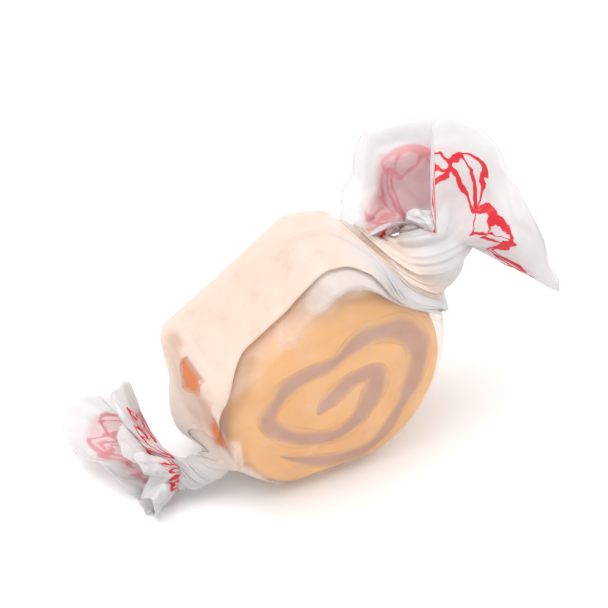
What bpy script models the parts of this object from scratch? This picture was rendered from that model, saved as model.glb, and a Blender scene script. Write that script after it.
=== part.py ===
"""Salt water taffy in its twist wrapper.

A short log of pulled taffy, cut from a rope with a brown sheet rolled up in it,
lies on its round side.  One rectangle of waxed paper is wound round it a little
more than once and twisted shut at both ends, where it spreads into two fans.

Metres, +Z up.  The origin is where the log rests.  The candy's own axes are T
along the twists, N across the log's round side and A out of the front cut face.
"""

import math

import bmesh
import bpy
import numpy as np
from mathutils import Matrix, Vector

# The log of taffy
FACE_RADIUS = 0.0120
HALF_LENGTH = 0.0070
LOG_SQUARENESS = 5.0
OVAL = 0.03
OVAL_ANGLE = math.radians(15)
LOBE = 0.02
LOBE_ANGLE = math.radians(-80)
LOG_ROLL = math.radians(36)
REST_DEPTH = 0.0110
GAP = 0.00035

# The brown sheet rolled up in it: its middle line on the cut face, from the inside out,
# as degrees from T and distance from the log's axis
SWIRL_PATH = (
    (151, 0.0027),
    (80, 0.0038),
    (4, 0.0045),
    (-90, 0.0036),
    (-160, 0.0047),
    (-226, 0.0084),
    (-293, 0.0074),
    (-352, 0.0094),
    (-400, 0.0088),
    (-442, 0.0080),
    (-510, 0.0082),
    (-528, 0.0082),
)
SWIRL_HALF_WIDTH = 0.00095
SWIRL_STEPS = 66

# The sheet of waxed paper, drawn thicker than the real 0.04 mm
PAPER_THICKNESS = 0.0003
LAP_STEP = 0.00065
LAP_RAMP = 0.07
SHEET_START = math.radians(-62)
SHEET_END = math.radians(34)
COLUMNS_A_TURN = 52
BELLY_SQUARENESS = 5.0
FLOOR_PRESS = 0.0002
FAN_CLEAR = 0.0009
FAN_CLEAR_START = 0.0112
CENTRE_HEIGHT = REST_DEPTH + GAP + PAPER_THICKNESS - FLOOR_PRESS

# The loose corners of the paper band over the log's top, in the T, N plane
BAND_CORNERS = ((-0.0084, 0.0126), (0.0086, 0.0123))

# Where the paper leaves the log, is gathered into pleats and twisted
SHOULDER_START = 0.0088
PLEAT_START = 0.0125
PLEATS = 5
PLEAT_DEPTH = 0.16
SHOULDER_TWIST = math.radians(36)

# Both ends: the neck's place in the candy's axes, then the fan as directions in the world.
# Reach is the paper's length from the neck, from one edge of the fan to the other.
RIGHT_END = {
    "side": 1,
    "neck": (0.0150, 0.0009, 0.0013),
    "neck_radius": 0.0040,
    "neck_length": 0.0034,
    "neck_twist": math.radians(68),
    "out": (0.613, 0.431, 0.662),
    "face": (-0.321, -0.630, 0.707),
    "spread": math.radians(96),
    "reach": (0.0047, 0.0070, 0.0114, 0.0117, 0.0117, 0.0103, 0.0080, 0.0082, 0.0102),
    "open": 0.0019,
    "ripple": 0.0012,
    "phase": 0.6,
}
LEFT_END = {
    "side": -1,
    "neck": (0.0138, 0.0008, 0.0022),
    "neck_radius": 0.0017,
    "neck_length": 0.0042,
    "neck_twist": math.radians(40),
    "out": (-0.837, 0.537, 0.098),
    "face": (-0.10, -0.50, 0.86),
    "spread": math.radians(58),
    "reach": (0.0080, 0.0082, 0.0114, 0.0122, 0.0094, 0.0064, 0.0046, 0.0036, 0.0032),
    "open": 0.0017,
    "ripple": 0.0010,
    "phase": 2.1,
}
RIPPLES = 2.5
FOLD_SHARPNESS = 0.97
FOLD_ROUNDNESS = 0.75

# How finely the sheet is divided between its two cut edges
FAN_ROWS = 7
NECK_ROWS = 3
SHOULDER_ROWS = 6
BELLY_ROWS = 6


def candy_axes():
    """The columns are T, N and A; the log is rolled about A, so T climbs to the right."""
    c, s = math.cos(LOG_ROLL), math.sin(LOG_ROLL)
    return Matrix(((c, -s, 0), (0, 0, -1), (s, c, 0)))


def log_radius(angle):
    """Radius of the log's outline in the T, N plane: an oval, lobed circle, flat where it rests."""
    radius = FACE_RADIUS * (
        1
        + OVAL * np.cos(2 * (angle - OVAL_ANGLE))
        + LOBE * np.cos(3 * (angle - LOBE_ANGLE))
    )
    down = math.atan2(-math.cos(LOG_ROLL), -math.sin(LOG_ROLL))
    facing = np.maximum(np.cos(angle - down), 0.05)
    return np.minimum(radius, REST_DEPTH / facing)


def rounded_square(angle, power):
    """The point of the superellipse |c|^power + |s|^power = 1 in the direction of angle."""
    c, s = np.cos(angle), np.sin(angle)
    reach = (np.abs(c) ** power + np.abs(s) ** power) ** (-1 / power)
    return c * reach, s * reach


def smooth(x):
    """0 below 0, 1 above 1, and a smooth step between."""
    x = np.clip(x, 0, 1)
    return x * x * (3 - 2 * x)


def upper_edge(points, at):
    """Height over `at` of a string pulled tight over the points: the highest chord of any two."""
    points = points[np.argsort(points[:, 0])]
    x, y = points[:, 0], points[:, 1]
    first, second = np.triu_indices(len(x), 1)
    run = np.maximum(x[second] - x[first], 1e-9)
    share = (at - x[first]) / run
    height = y[first] + share * (y[second] - y[first])
    return height[(share >= 0) & (share <= 1)].max()


def neck_points(axis, sign):
    """Where both necks pull the paper's profile to, on the N (1) or A (2) side of sign."""
    return [
        (end["side"] * end["neck"][0], sign * end["neck"][axis] + end["neck_radius"])
        for end in (LEFT_END, RIGHT_END)
    ]


def section_size(x):
    """Middle and half size of the paper's cross-section at x along T, in the N and A directions."""
    clear = GAP + PAPER_THICKNESS / 2
    angle = np.linspace(0, 2 * math.pi, 121)
    radius = log_radius(angle) + clear
    outline = np.stack([radius * np.cos(angle), radius * np.sin(angle)], axis=1)
    top = upper_edge(np.vstack([outline, BAND_CORNERS, neck_points(1, 1)]), x)
    bottom = upper_edge(np.vstack([outline * (1, -1), neck_points(1, -1)]), x)

    tip, side = rounded_square(np.linspace(0, math.pi, 61), LOG_SQUARENESS)
    widest = FACE_RADIUS * (1 + OVAL + LOBE)
    length = np.stack([tip * (widest + clear), side * (HALF_LENGTH + clear)], axis=1)
    front = upper_edge(np.vstack([length, neck_points(2, 1)]), x)
    back = upper_edge(np.vstack([length, neck_points(2, -1)]), x)
    return (top - bottom) / 2, (top + bottom) / 2, (front - back) / 2, (front + back) / 2


def girth_angle(turn):
    """Angle round the paper tube after `turn` turns of equal paper, on the middle section."""
    angle = np.linspace(-math.pi, math.pi, 721)
    c, s = rounded_square(angle, BELLY_SQUARENESS)
    n, a = c * FACE_RADIUS, s * HALF_LENGTH
    length = np.concatenate([[0], np.cumsum(np.hypot(np.diff(n), np.diff(a)))])
    whole = np.floor(turn + 0.5)
    return np.interp(turn - whole + 0.5, length / length[-1], angle) + 2 * math.pi * whole


def turn_at(angle):
    """The inverse of girth_angle between minus half a turn and half a turn."""
    turns = np.linspace(-0.5, 0.5, 721)
    return float(np.interp(angle, girth_angle(turns), turns))


def paper_turns():
    """Each column's place round the tube, so that the columns of the lap lie on the first turn's."""
    start = turn_at(SHEET_START)
    steps = round((1 + turn_at(SHEET_END) - start) * COLUMNS_A_TURN)
    return start + np.arange(steps + 1) / COLUMNS_A_TURN


def lap_offset(turns):
    """How far the paper stands out: nothing on the first turn, one step where it laps over itself."""
    return LAP_STEP * smooth((turns - turns[0] - 1 + LAP_RAMP) / LAP_RAMP)


def least_height(rings, turns):
    """How low each point may lie: the log's patch rests, and the low fan stays clear of the floor.

    The columns under the lap stay one step higher, so that the lap fits between.
    """
    under_lap = smooth((turns[-1] - 1 - turns) / LAP_RAMP + 1)
    in_fan = smooth((-rings[..., 0] - FAN_CLEAR_START) / (LEFT_END["neck"][0] - FAN_CLEAR_START))
    return PAPER_THICKNESS / 2 + LAP_STEP * under_lap + FAN_CLEAR * in_fan


def pleated(turns, depth):
    """Share of the full radius: round pleats that run along the paper's own lines."""
    return 1 - depth * np.sin(math.pi * PLEATS * turns) ** 2


def belly_ring(x, turns, depth):
    """The paper's section at x: it hugs the log, then runs straight to the neck, turning as it goes."""
    n_mid, n_half, a_mid, a_half = section_size(x)
    end = RIGHT_END if x > 0 else LEFT_END
    rounded = smooth((abs(x) - SHOULDER_START) / (end["neck"][0] - SHOULDER_START)) ** 2
    gathered = smooth((abs(x) - PLEAT_START) / (end["neck"][0] - PLEAT_START))
    power = BELLY_SQUARENESS + (2 - BELLY_SQUARENESS) * rounded
    angle = girth_angle(turns) + end["side"] * SHOULDER_TWIST * rounded
    c, s = rounded_square(angle, power)
    fold = pleated(turns, depth * gathered)
    return np.stack(
        [np.full_like(c, x), n_mid + n_half * fold * c, a_mid + a_half * fold * s], axis=1
    )


def unit(v):
    return np.asarray(v, float) / np.linalg.norm(v)


def fan_axes(end):
    """The fan's out, across and face directions in the candy's axes."""
    turned = np.array(candy_axes())
    out = unit(np.array(end["out"]) @ turned)
    face = np.array(end["face"]) @ turned
    face = unit(face - out * (face @ out))
    return out, np.cross(face, out) * end["side"], face


def neck_frame(share, end):
    """Centre and the two cross directions of the neck, which bends from T to the fan's out."""
    out, across, _ = fan_axes(end)
    axis = np.array([end["side"], 0.0, 0.0])
    base = np.array(end["neck"]) * (end["side"], 1, 1)
    lean = unit(axis + (out - axis) * share)
    centre = base + end["neck_length"] * share * unit(axis + (out - axis) * share / 2)
    first = np.array([0.0, 1.0, 0.0]) * (1 - share) + across * share
    first = unit(first - lean * (first @ lean))
    return centre, first, np.cross(lean, first) * end["side"]


def neck_ring(share, turns, end, depth):
    """A round section of the gathered neck, share of the way from the shoulder to the fan."""
    centre, first, second = neck_frame(share, end)
    angle = girth_angle(turns) + end["side"] * (SHOULDER_TWIST + end["neck_twist"] * share)
    radius = end["neck_radius"] * pleated(turns, depth)
    return (
        centre
        + (radius * np.cos(angle))[:, None] * first
        + (radius * np.sin(angle))[:, None] * second
    )


def fan_ring(share, turns, end, depth):
    """A section of the fan: a flattened tube whose paper lines spread from the neck like spokes."""
    out, across, face = fan_axes(end)
    centre, _, _ = neck_frame(1.0, end)
    angle = girth_angle(turns) + end["side"] * (SHOULDER_TWIST + end["neck_twist"])
    radius = end["neck_radius"] * pleated(turns, depth)
    fold = np.arcsin(FOLD_SHARPNESS * np.cos(angle)) / math.asin(FOLD_SHARPNESS)
    spoke = end["spread"] * fold
    stops = np.linspace(-1, 1, len(end["reach"]))
    reach = share * np.interp(fold, stops, end["reach"][::-1])
    bulge = np.abs(np.sin(angle)) ** FOLD_ROUNDNESS * np.sign(np.sin(angle))
    layer = radius * (1 - share) * np.sin(angle) + end["open"] * share * bulge
    wave = end["ripple"] * share * np.sin(RIPPLES * math.pi * fold + end["phase"])
    return (
        centre
        + (reach * np.cos(spoke))[:, None] * out
        + (radius * np.cos(angle) + reach * np.sin(spoke))[:, None] * across
        + (layer + wave)[:, None] * face
    )


def single_rings(turns, depth):
    """Every section of the sheet without its lap, from the left cut edge to the right one."""
    fan = np.linspace(0, 1, FAN_ROWS + 1)[1:]
    neck = np.linspace(0, 1, NECK_ROWS + 1)[1:]
    belly = np.linspace(-SHOULDER_START, SHOULDER_START, BELLY_ROWS + 1)[1:-1]
    left = np.linspace(SHOULDER_START, LEFT_END["neck"][0], SHOULDER_ROWS + 1)
    right = np.linspace(SHOULDER_START, RIGHT_END["neck"][0], SHOULDER_ROWS + 1)
    rings = [fan_ring(share, turns, LEFT_END, depth) for share in fan[::-1]]
    rings += [neck_ring(share, turns, LEFT_END, depth) for share in neck[::-1]]
    rings += [belly_ring(-x, turns, depth) for x in left[::-1]]
    rings += [belly_ring(x, turns, depth) for x in belly]
    rings += [belly_ring(x, turns, depth) for x in right]
    rings += [neck_ring(share, turns, RIGHT_END, depth) for share in neck]
    rings += [fan_ring(share, turns, RIGHT_END, depth) for share in fan]
    return np.array(rings)


def outward(rings):
    """Direction away from the candy at each point of the sheet, square to the tube's own line."""
    away = -np.cross(np.gradient(rings, axis=0), np.gradient(rings, axis=1))
    line = np.gradient(rings.mean(axis=1), axis=0)
    line /= np.linalg.norm(line, axis=1)[:, None]
    away -= (away * line[:, None]).sum(axis=2)[..., None] * line[:, None]
    return away / np.linalg.norm(away, axis=2)[..., None]


def paper_rings():
    """The sheet's middle surface: its lap stands out from it, and it is flat where the log rests."""
    turns = paper_turns()
    away = outward(single_rings(turns, 0.0))
    rings = single_rings(turns, PLEAT_DEPTH) + away * lap_offset(turns)[:, None]
    up = np.array(candy_axes())[2]
    height = rings @ up + CENTRE_HEIGHT - least_height(rings, turns)
    return rings - np.minimum(height, 0)[..., None] * up


def material(name, colour, roughness):
    made = bpy.data.materials.new(name)
    made.use_nodes = True
    shader = made.node_tree.nodes["Principled BSDF"]
    shader.inputs["Base Color"].default_value = (*colour, 1)
    shader.inputs["Roughness"].default_value = roughness
    return made


def add(name, mesh, finish, collection, frame):
    obj = bpy.data.objects.new(name, mesh)
    obj.parent = frame
    collection.objects.link(obj)
    if finish:
        mesh.materials.append(finish)
    return obj


def log_mesh(name):
    """The log: a sphere's grid pushed out to a squared-off barrel whose axis is A."""
    shape = bmesh.new()
    bmesh.ops.create_uvsphere(shape, u_segments=40, v_segments=16, radius=1)
    for vertex in shape.verts:
        x, y, z = vertex.co
        angle = math.atan2(y, x)
        round_part, long_part = rounded_square(math.atan2(z, math.hypot(x, y)), LOG_SQUARENESS)
        radius = float(log_radius(angle) * round_part)
        vertex.co = (
            radius * math.cos(angle),
            radius * math.sin(angle),
            HALF_LENGTH * float(long_part),
        )
    mesh = bpy.data.meshes.new(name)
    shape.to_mesh(mesh)
    shape.free()
    mesh.shade_smooth()
    return mesh


def swirl_middle():
    """A smooth curve through the swirl's path, each span a cubic with its neighbours' slope."""
    angle, radius = np.array(SWIRL_PATH, float).T
    share = np.linspace(0, len(radius) - 1, SWIRL_STEPS + 1)
    first = np.minimum(share.astype(int), len(radius) - 2)
    u = share - first
    slope = np.gradient(radius)
    rise = radius[first + 1] - radius[first]
    bend = (1 - u) * (slope[first] - rise) - u * (slope[first + 1] - rise)
    turned = np.radians(np.interp(share, np.arange(len(angle)), angle))
    return turned, radius[first] + u * rise + u * (1 - u) * bend


def swirl_side(sign, grow):
    """One edge of the rolled brown sheet on the cut face, drawn clockwise and outward."""
    angle, radius = swirl_middle()
    line = np.stack([radius * np.cos(angle), radius * np.sin(angle)], axis=1)
    along = np.gradient(line, axis=0)
    along /= np.linalg.norm(along, axis=1)[:, None]
    aside = np.stack([-along[:, 1], along[:, 0]], axis=1)
    share = np.linspace(0, 1, SWIRL_STEPS + 1)
    taper = np.sqrt(np.clip(np.minimum(share, 1 - share) * 18, 0.15, 1))
    return line + sign * aside * (SWIRL_HALF_WIDTH * taper + grow)[:, None]


def swirl_mesh(name, grow):
    """The spiral drawn through the log's whole length: quads between its two edges and round them."""
    outline = np.vstack([swirl_side(-1, grow), swirl_side(1, grow)[::-1]])
    count = len(outline)
    depth = HALF_LENGTH * 1.4
    shape = bmesh.new()
    back, front = (
        [shape.verts.new((x, y, z)) for x, y in outline] for z in (-depth, depth)
    )
    for k in range(count):
        after = (k + 1) % count
        shape.faces.new((back[k], back[after], front[after], front[k]))
    for k in range(count // 2 - 1):
        corners = (k, k + 1, count - 2 - k, count - 1 - k)
        shape.faces.new([front[i] for i in corners])
        shape.faces.new([back[i] for i in reversed(corners)])
    bmesh.ops.recalc_face_normals(shape, faces=shape.faces)
    mesh = bpy.data.meshes.new(name)
    shape.to_mesh(mesh)
    shape.free()
    return mesh


def boolean(obj, other, operation):
    cut = obj.modifiers.new(operation.lower(), "BOOLEAN")
    cut.operation = operation
    cut.solver = "EXACT"
    cut.object = other


def helper(name, mesh, collection, frame):
    obj = add(name, mesh, None, collection, frame)
    obj.hide_render = True
    obj.display_type = "WIRE"
    return obj


def paper_mesh(name):
    """The wound sheet as one grid of quads, its faces pointing away from the candy."""
    rings = paper_rings()
    rows, columns = rings.shape[:2]
    index = np.arange(rows * columns).reshape(rows, columns)
    quads = np.stack(
        [index[:-1, :-1], index[:-1, 1:], index[1:, 1:], index[1:, :-1]], axis=-1
    )
    mesh = bpy.data.meshes.new(name)
    mesh.from_pydata(rings.reshape(-1, 3).tolist(), [], quads.reshape(-1, 4).tolist())
    mesh.shade_smooth()
    return mesh


def main():
    for obj in list(bpy.data.objects):
        bpy.data.objects.remove(obj)
    part = bpy.data.collections.new("salt_water_taffy")
    cutters = bpy.data.collections.new("cutters")
    for collection in (part, cutters):
        bpy.context.scene.collection.children.link(collection)
    frame = bpy.data.objects.new("candy_axes", None)
    frame.matrix_world = Matrix.Translation(Vector((0, 0, CENTRE_HEIGHT))) @ (
        candy_axes().to_4x4()
    )
    part.objects.link(frame)

    cream = material("taffy_base", (0.86, 0.50, 0.20), 0.45)
    brown = material("taffy_swirl", (0.30, 0.14, 0.09), 0.45)
    wax = material("waxed_paper", (0.93, 0.90, 0.88), 0.35)

    groove = helper("swirl_groove", swirl_mesh("swirl_groove", GAP), cutters, frame)
    log_limit = helper("log_limit", log_mesh("log_limit"), cutters, frame)
    taffy = add("taffy", log_mesh("taffy"), cream, part, frame)
    boolean(taffy, groove, "DIFFERENCE")
    swirl = add("swirl", swirl_mesh("swirl", 0.0), brown, part, frame)
    boolean(swirl, log_limit, "INTERSECT")

    wrapper = add("wrapper", paper_mesh("wrapper"), wax, part, frame)
    thick = wrapper.modifiers.new("thickness", "SOLIDIFY")
    thick.thickness = PAPER_THICKNESS
    thick.offset = 0


main()
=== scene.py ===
# %% [markdown]
# # A twist-wrapped salt water taffy
#
# A short log of pulled taffy is cut from a rope that has a brown sheet rolled up in it.
# One rectangle of waxed paper goes round the log a little more than once, and both ends
# are twisted shut and spread into fans. Three things have to look right: the candy with
# its spiral, the paper that turns clear where it clings and stays white where it stands
# off, and the red border printed near the paper's cut edges.
#
# The script works its way from the log, through the spiral in it and the sheet round it,
# to the materials, the light and the camera.

# %% The frame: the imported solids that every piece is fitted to
import math

import bpy
import numpy as np
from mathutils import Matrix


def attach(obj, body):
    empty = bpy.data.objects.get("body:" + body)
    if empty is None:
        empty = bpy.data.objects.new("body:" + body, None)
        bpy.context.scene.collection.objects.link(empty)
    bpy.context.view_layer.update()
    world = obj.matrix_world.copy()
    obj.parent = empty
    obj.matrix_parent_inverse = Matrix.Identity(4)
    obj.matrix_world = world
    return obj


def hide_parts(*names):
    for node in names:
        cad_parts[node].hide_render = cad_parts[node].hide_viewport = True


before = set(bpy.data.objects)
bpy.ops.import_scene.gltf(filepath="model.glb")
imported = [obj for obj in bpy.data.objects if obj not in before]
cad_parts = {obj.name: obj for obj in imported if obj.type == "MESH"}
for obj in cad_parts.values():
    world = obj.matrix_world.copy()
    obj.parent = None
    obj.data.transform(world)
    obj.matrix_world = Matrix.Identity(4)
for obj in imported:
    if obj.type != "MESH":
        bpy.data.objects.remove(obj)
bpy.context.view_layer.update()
print("solids:", sorted(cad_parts))

# %% [markdown]
# ## Sizes
#
# The candy has axes of its own: T runs along the twists, N across the round side and A
# out of the front cut face. The log is rolled about A, so its right end is raised. The
# numbers are in metres where nothing else is said, and those of the log are the same as
# the solids have.

# %% Sizes of the log and of the sheet
FACE_RADIUS = 0.0120
HALF_LENGTH = 0.0070
LOG_ROLL = math.radians(36)
REST_DEPTH = 0.0110
OVAL, OVAL_ANGLE = 0.03, math.radians(15)
LOBE, LOBE_ANGLE = 0.02, math.radians(-80)
CENTRE_HEIGHT = 0.01145
PAPER_CLEAR = 0.0005

c, s = math.cos(LOG_ROLL), math.sin(LOG_ROLL)
CANDY_AXES = np.array([[c, -s, 0], [0, 0, -1], [s, c, 0]])


def smooth(x):
    """0 below 0, 1 above 1, and 3x^2 - 2x^3 between."""
    x = np.clip(x, 0, 1)
    return x * x * (3 - 2 * x)


def unit(v):
    return np.asarray(v, float) / np.linalg.norm(v)


def to_world(points):
    """Turn points in the T, N, A axes into the frame: a rotation, then a lift to the log's height."""
    return points @ CANDY_AXES.T + (0, 0, CENTRE_HEIGHT)


def rounded_square(angle, power):
    """The point of |c|^power + |s|^power = 1 in the direction of angle."""
    c, s = np.cos(angle), np.sin(angle)
    reach = (np.abs(c) ** power + np.abs(s) ** power) ** (-1 / power)
    return c * reach, s * reach


def log_radius(angle):
    """The log's outline: a circle times 1 + an oval's cos 2a + a lobe's cos 3a, flat below."""
    radius = FACE_RADIUS * (
        1 + OVAL * np.cos(2 * (angle - OVAL_ANGLE)) + LOBE * np.cos(3 * (angle - LOBE_ANGLE))
    )
    down = math.atan2(-math.cos(LOG_ROLL), -math.sin(LOG_ROLL))
    return np.minimum(radius, REST_DEPTH / np.maximum(np.cos(angle - down), 0.05))


print("outline in mm:", (1000 * log_radius(np.linspace(0, 5, 6))).round(2))

# %% [markdown]
# ## Grid surfaces
#
# Every piece here is a grid of points, worked out as one numpy array, with quads between
# neighbours. A closed piece joins its last column to its first and closes each end with
# one pole. Values that a material needs at each point, such as how hazy the paper is
# there, travel with the mesh as attributes.

# %% Mesh helpers
def make_object(name, points, faces, values=None, sheet_uv=None):
    """A smooth-shaded mesh at the origin, with float attributes and an optional UV map."""
    mesh = bpy.data.meshes.new(name)
    mesh.from_pydata(points.tolist(), [], faces)
    for key, value in (values or {}).items():
        layer = mesh.attributes.new(key, "FLOAT", "POINT")
        layer.data.foreach_set("value", np.ravel(value).astype(np.float32))
    if sheet_uv is not None:
        layer = mesh.uv_layers.new(name="sheet")
        corners = np.empty(len(mesh.loops), np.int32)
        mesh.loops.foreach_get("vertex_index", corners)
        layer.data.foreach_set("uv", sheet_uv[corners].ravel().astype(np.float32))
    mesh.shade_smooth()
    obj = bpy.data.objects.new(name, mesh)
    bpy.context.scene.collection.objects.link(obj)
    print(name, "has", len(mesh.vertices), "points")
    return obj


def open_grid(rows, columns):
    """Quads of a sheet whose points are numbered row by row."""
    index = np.arange(rows * columns).reshape(rows, columns)
    quads = np.stack([index[:-1, :-1], index[:-1, 1:], index[1:, 1:], index[1:, :-1]], -1)
    return quads.reshape(-1, 4).tolist()


def closed_grid(rows, columns):
    """Quads of a tube of rings, with a fan of triangles from each ring at its ends to a pole."""
    index = np.arange(rows * columns).reshape(rows, columns)
    after = np.roll(index, -1, axis=1)
    quads = np.stack([index[:-1], after[:-1], after[1:], index[1:]], -1).reshape(-1, 4)
    first, last = rows * columns, rows * columns + 1
    start = [(first, b, a) for a, b in zip(index[0].tolist(), after[0].tolist())]
    end = [(last, a, b) for a, b in zip(index[-1].tolist(), after[-1].tolist())]
    return quads.tolist() + start + end


# %% [markdown]
# ## The log
#
# Pulled taffy is soft enough to slump: the cut faces bulge a little and the rim is round.
# A superellipse with a power of 7 gives that profile, from the middle of one face, over
# the rim, to the middle of the other. The faces also get a shallow unevenness that
# follows the rolled layers, because the cutter drags them.

# %% The log's surface
LOG_SQUARENESS = 7.0
DRAG_HEIGHT, DRAG_WAVES, DRAG_TURNS = 0.00006, 2600, 2
FULLER, FULLER_ANGLE = 0.03, math.radians(-5)


def face_drag(radius, angle, height):
    """Faint ridges over the rolled layers: a sine of radius and angle, gone below the rim."""
    wave = np.sin(radius * DRAG_WAVES + DRAG_TURNS * angle)
    return DRAG_HEIGHT * wave * np.abs(height / HALF_LENGTH) ** 8


def candy_radius(angle):
    """The outline, and up to 3 % more on the right, where the log fills its paper."""
    return log_radius(angle) * (1 + FULLER * smooth(2 * np.cos(angle - FULLER_ANGLE) - 1))


def face_height(t, n):
    """Height of the cut face over the point t, n: h (1 - (r / R)^p)^(1 / p), and its drag."""
    radius, angle = np.hypot(t, n), np.arctan2(n, t)
    inside = np.clip(1 - (radius / candy_radius(angle)) ** LOG_SQUARENESS, 0, 1)
    height = HALF_LENGTH * inside ** (1 / LOG_SQUARENESS)
    return height + face_drag(radius, angle, height)


def gauge(points):
    """1 on the log and in proportion elsewhere: the p-norm of r / R and |a| / h."""
    t, n, a = points[..., 0], points[..., 1], points[..., 2]
    share = np.hypot(t, n) / log_radius(np.arctan2(n, t))
    flat = np.abs(a) / HALF_LENGTH
    return (share**LOG_SQUARENESS + flat**LOG_SQUARENESS) ** (1 / LOG_SQUARENESS)


def standing_off(points):
    """Distance from the log, to first order: (gauge - 1) over the length of its slope."""
    step = 1e-5
    slope = [gauge(points + move) - gauge(points - move) for move in step * np.eye(3)]
    return (gauge(points) - 1) * 2 * step / np.linalg.norm(slope, axis=0)


def log_surface(rows=110, columns=240):
    """Rings round A: r = R(angle) times the profile's width, A = half length times its height."""
    tilt = np.linspace(-math.pi / 2, math.pi / 2, rows + 2)[1:-1]
    width, height = rounded_square(tilt, LOG_SQUARENESS)
    angle = np.linspace(0, 2 * math.pi, columns, endpoint=False)
    radius = width[:, None] * candy_radius(angle)
    length = HALF_LENGTH * height[:, None]
    length = length + face_drag(radius, angle, length) * np.sign(length)
    points = np.stack([radius * np.cos(angle), radius * np.sin(angle), length], -1)
    poles = [[0, 0, -HALF_LENGTH], [0, 0, HALF_LENGTH]]
    return to_world(np.vstack([points.reshape(-1, 3), poles])), closed_grid(rows, columns)


taffy = make_object("taffy_log", *log_surface())
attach(taffy, "root")
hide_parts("taffy")

# %% [markdown]
# ## The brown spiral
#
# The brown sheet was rolled up in the rope, so it is a strip that runs through the whole
# log. Its middle line on the face is a spiral: a narrow hook in the middle, a
# leaf-shaped turn round it, a wide turn up the right side, and a tail that runs along the
# lower rim. A section is carried along that line. It goes across the front face, down one
# side, across the back face and up the other side, and it stands a fiftieth of a
# millimetre proud of both faces. The path is in millimetres along T and N, and so are the
# half widths, one for each of its points.

# %% The spiral strip
SPIRAL_PATH = (
    (-2.7, 1.0), (-0.7, 1.4), (1.8, 1.5), (3.6, 0.8), (4.3, -0.6), (2.9, -2.3), (0.5, -3.4),
    (-2.3, -3.9), (-4.9, -1.7), (-6.5, 2.5), (-6.4, 5.6), (-4.5, 6.7), (-2.3, 7.4), (-0.1, 6.9),
    (2.5, 5.4), (5.1, 5.3), (7.5, 4.7), (9.6, 2.1), (9.7, -1.1), (8.2, -3.8), (5.7, -5.7),
    (3.4, -7.0), (0.5, -8.4), (-2.3, -8.7), (-4.8, -7.2), (-7.4, -3.1), (-8.5, 0.2),
)
HALF_WIDTHS = (
    1.04, 1.17, 1.3, 1.43, 1.43, 1.43, 1.43, 1.3, 1.17, 1.17, 1.17, 1.3, 1.3, 1.17,
    1.17, 1.43, 1.56, 1.69, 1.82, 1.56, 1.3, 1.17, 1.04, 1.04, 1.04, 1.17, 0.65,
)
CURVE_WINDOW = 25


def spiral_middle(steps):
    """A cubic through the path's points, then a running mean, which rounds its corners."""
    knots = np.array(SPIRAL_PATH) / 1000
    share = np.linspace(0, len(knots) - 1, steps)
    first = np.minimum(share.astype(int), len(knots) - 2)
    u = (share - first)[:, None]
    slope = np.gradient(knots, axis=0)
    rise = knots[first + 1] - knots[first]
    bend = (1 - u) * (slope[first] - rise) - u * (slope[first + 1] - rise)
    line = knots[first] + u * rise + u * (1 - u) * bend
    window = np.hanning(CURVE_WINDOW)
    half = CURVE_WINDOW // 2
    padded = np.pad(line, ((half, half), (0, 0)), mode="reflect", reflect_type="odd")
    return np.stack([np.convolve(side, window / window.sum(), "valid") for side in padded.T], 1)


def spiral_strip(steps=420, across=13, proud=0.00002):
    """The strip's loop at each step: front face, side, back face, side.

    The front is crossed from the left of the line to its right, so the faces point outwards.
    Where the line turns tighter than the strip is wide, its inner side stops short of the
    centre of the turn, so that the edge doesn't cross itself.
    """
    line = spiral_middle(steps)
    along = np.gradient(line, axis=0)
    speed = np.linalg.norm(along, axis=1)
    along /= speed[:, None]
    aside = np.stack([-along[:, 1], along[:, 0]], 1)
    bend = (np.gradient(along, axis=0) * aside).sum(axis=1) / speed
    share = np.linspace(0, 1, steps)
    taper = np.sqrt(np.clip(np.minimum(share, 1 - share) * 30, 0.02, 1))
    uneven = 1 + 0.10 * np.sin(share * 43) + 0.06 * np.sin(share * 97 + 1)
    half = np.interp(share, np.linspace(0, 1, len(HALF_WIDTHS)), HALF_WIDTHS) * taper * uneven / 1000
    w = np.linspace(1, -1, across)
    room = np.where(bend[:, None] * w > 0, 0.8 / np.maximum(np.abs(bend[:, None]), 1), 1.0)
    flat = line[:, None] + aside[:, None] * (np.minimum(half[:, None], room) * w)[..., None]
    top = face_height(flat[..., 0], flat[..., 1]) + proud
    front = np.dstack([flat, top])
    back = np.dstack([flat, -top])[:, ::-1]
    rings = np.concatenate([front, back], axis=1)
    ends = [(rings[0, 0] + rings[0, across]) / 2, (rings[-1, 0] + rings[-1, across]) / 2]
    edge = np.tile(np.abs(np.concatenate([w, w[::-1]])), (steps, 1))
    points = np.vstack([rings.reshape(-1, 3), ends])
    edge = np.append(edge.ravel(), (1, 1))
    return to_world(points), closed_grid(steps, 2 * across), {"edge": edge}


spiral = make_object("spiral_strip", *spiral_strip())
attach(spiral, "root")
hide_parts("swirl")

# %% [markdown]
# ## How the paper is wound
#
# The wrapper is one sheet. A column of its grid is one line along the paper, and a row is
# one section across it. On the belly a section hugs the log, in the neck it is small and
# round, and in the fan it is a flattened tube whose lines spread like spokes. The column
# number never changes on the way, so a line that starts on the belly keeps its place in
# the fan, and the spiral folds of the twist come by themselves.
#
# Each end has its own numbers. "out" is where its fan points and "face" where the fan's
# flat side looks. "folds" are places across the fan, from one edge at -1 to the other at
# 1, and "reach" is the fan's length there in millimetres. "notch" says where the front
# layer begins to draw back, is back, begins to return and has returned, and by how much.
# "open" is how far the layers stand from the fan's middle, "hood" how far the back
# layer's rim leans between two folds, and "ripple" how high the fan's waves are.

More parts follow.
